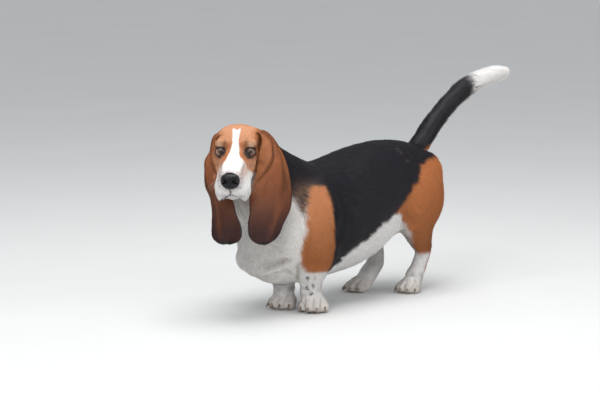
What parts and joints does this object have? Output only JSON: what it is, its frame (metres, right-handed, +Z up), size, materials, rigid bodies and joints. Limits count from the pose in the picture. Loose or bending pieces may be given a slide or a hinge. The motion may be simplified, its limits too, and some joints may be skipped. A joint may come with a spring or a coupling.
{
  "type": "basset hound model",
  "caption": "Life-size still model of a standing long-bodied, short-legged hound with hanging ears, head turned to its left and tail raised; rests on the floor on flat soles.",
  "frame": {"origin": "bottom centre of the bounding box, on the floor between the paws", "axes": "+Z up from the floor; the dog's chest and nose point towards -Y, its tail towards +Y, and its left side is +X"},
  "size_m": [0.274, 1.0874, 0.527],
  "materials": {
    "coat": "short dense hair, black saddle, tan head and thighs, white chest, feet and tail tip",
    "ear": "soft short hair, chestnut darkening to near black at the lower edge",
    "nose": "moist, finely pebbled black skin",
    "eye": "wet, clear over an amber iris"
  },
  "bodies": {
    "root": {"head": "coat", "neck": "coat", "torso": "coat", "tail": "coat", "foreleg_left": "coat", "foreleg_right": "coat", "forepaw_left": "coat", "forepaw_right": "coat", "hindleg_left": "coat", "hindleg_right": "coat", "hindpaw_left": "coat", "hindpaw_right": "coat", "ear_left": "ear", "ear_right": "ear", "nose": "nose", "eye_left": "eye", "eye_right": "eye"}
  },
  "joints": []
}
